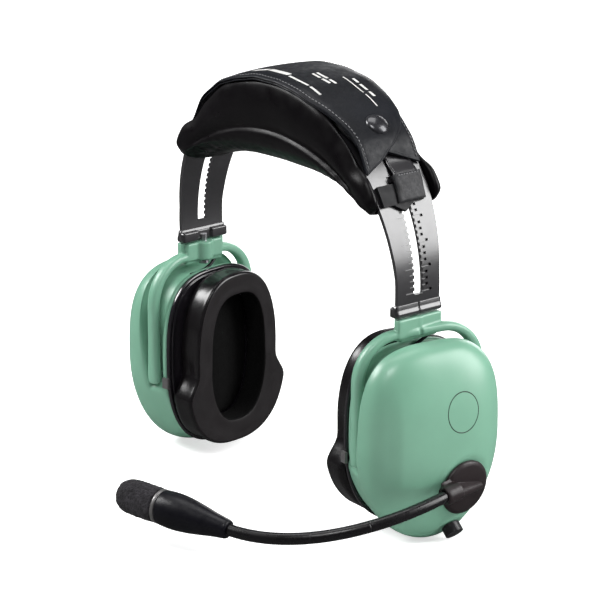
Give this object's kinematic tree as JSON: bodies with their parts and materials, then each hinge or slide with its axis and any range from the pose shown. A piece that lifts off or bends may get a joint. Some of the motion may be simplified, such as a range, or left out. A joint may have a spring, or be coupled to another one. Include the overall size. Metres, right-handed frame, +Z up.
{
  "type": "aviation headset",
  "caption": "Passive aviation headset: padded headband, slotted size blades, suspension yokes, domed ear cups with seals, and a gooseneck microphone boom.",
  "frame": {"origin": "midway between the two cup tilt axes, level with them", "axes": "+Z up towards the headband, the wearer faces -Y, +X towards the wearer's left ear, which carries the boom"},
  "size_m": [0.2526, 0.1707, 0.232],
  "materials": {
    "spring_steel": "satin",
    "black_vinyl": "soft satin grain",
    "foam": "open-cell foam",
    "cover_leather": "grained satin",
    "dark_snap": "gloss",
    "gloss_black": "gloss",
    "satin_black": "satin",
    "green_shell": "satin moulded",
    "seal_vinyl": "smooth vinyl",
    "black_rubber": "satin",
    "windscreen_foam": "fine open-cell foam"
  },
  "bodies": {
    "headband": {"headband_spring": "spring_steel", "head_pad": "black_vinyl", "upper_foam": "foam", "pad_cover": "cover_leather", "cover_snaps": "dark_snap", "slider_blocks": "satin_black", "slider_studs": "spring_steel", "keeper_straps": "cover_leather"},
    "left_slide": {"left_blade": "gloss_black", "left_blade_foot": "gloss_black", "left_swivel_post": "spring_steel"},
    "right_slide": {"right_blade": "gloss_black", "right_blade_foot": "gloss_black", "right_swivel_post": "spring_steel"},
    "left_yoke_body": {"left_yoke": "green_shell", "left_pivot_pins": "spring_steel"},
    "right_yoke_body": {"right_yoke": "green_shell", "right_pivot_pins": "spring_steel"},
    "left_cup": {"left_dome": "green_shell", "left_baffle_ring": "gloss_black", "left_ear_seal": "seal_vinyl", "left_foam_cover": "foam", "left_foam_liner": "foam", "left_earphone": "spring_steel", "left_seal_clips": "spring_steel", "left_crossover_wire": "black_rubber", "cord_bushing": "black_rubber", "volume_pot": "spring_steel"},
    "right_cup": {"right_dome": "green_shell", "right_baffle_ring": "gloss_black", "right_ear_seal": "seal_vinyl", "right_foam_cover": "foam", "right_foam_liner": "foam", "right_earphone": "spring_steel", "right_seal_clips": "spring_steel", "right_crossover_wire": "black_rubber"},
    "knob": {"volume_knob": "satin_black"},
    "boom_base": {"boom_disc": "satin_black", "boom_hub": "satin_black", "boom_nut": "spring_steel", "gooseneck_1": "black_rubber"},
    "boom_a": {"gooseneck_2": "black_rubber"},
    "boom_b": {"gooseneck_3": "black_rubber"},
    "boom_c": {"gooseneck_4": "black_rubber", "mic_boot": "black_rubber", "mic_ring": "gloss_black", "mic_capsule": "spring_steel", "windscreen": "windscreen_foam"}
  },
  "joints": [
    {"name": "left_size_slide", "type": "hinge", "parent": "headband", "child": "left_slide", "pos_m": [0, 0, 0.085], "axis": [0, -1, 0], "range_deg": [0, 24]},
    {"name": "right_size_slide", "type": "hinge", "parent": "headband", "child": "right_slide", "pos_m": [0, 0, 0.085], "axis": [0, 1, 0], "range_deg": [0, 24]},
    {"name": "left_yoke_swivel", "type": "hinge", "parent": "left_slide", "child": "left_yoke_body", "pos_m": [0.0887, 0, 0.066], "axis": [0, 0, 1], "range_deg": [-8, 8]},
    {"name": "right_yoke_swivel", "type": "hinge", "parent": "right_slide", "child": "right_yoke_body", "pos_m": [-0.0887, 0, 0.066], "axis": [0, 0, 1], "range_deg": [-8, 8]},
    {"name": "left_cup_tilt", "type": "hinge", "parent": "left_yoke_body", "child": "left_cup", "pos_m": [0.0918, 0, 0], "axis": [-0.1392, -0.9903, 0], "range_deg": [-1, 6], "deforming": ["left_crossover_wire"]},
    {"name": "right_cup_tilt", "type": "hinge", "parent": "right_yoke_body", "child": "right_cup", "pos_m": [-0.0918, 0, 0], "axis": [-0.1392, 0.9903, 0], "range_deg": [-1, 6], "deforming": ["right_crossover_wire"]},
    {"name": "volume_turn", "type": "hinge", "parent": "left_cup", "child": "knob", "pos_m": [0.11272, 0.00514, -0.039], "axis": [0.7071, 0, -0.7071], "range_deg": [-135, 135]},
    {"name": "boom_swivel", "type": "hinge", "parent": "left_cup", "child": "boom_base", "pos_m": [0.11954, 0.00771, -0.0162], "axis": [-0.9903, 0, 0.1392], "range_deg": [-30, 60]},
    {"name": "gooseneck_bend_1", "type": "hinge", "parent": "boom_base", "child": "boom_a", "pos_m": [0.12592, -0.04229, -0.01936], "axis": [0, 0, 1], "range_deg": [-8, 8]},
    {"name": "gooseneck_bend_2", "type": "hinge", "parent": "boom_a", "child": "boom_b", "pos_m": [0.11414, -0.0706, -0.02465], "axis": [0, 0, 1], "range_deg": [-8, 8]},
    {"name": "gooseneck_bend_3", "type": "hinge", "parent": "boom_b", "child": "boom_c", "pos_m": [0.09341, -0.09164, -0.02851], "axis": [0, 0, 1], "range_deg": [-8, 8]}
  ],
  "couplings": [
    {"joint": "gooseneck_bend_2", "follows": "gooseneck_bend_1", "ratio": 1},
    {"joint": "gooseneck_bend_3", "follows": "gooseneck_bend_1", "ratio": 1}
  ]
}
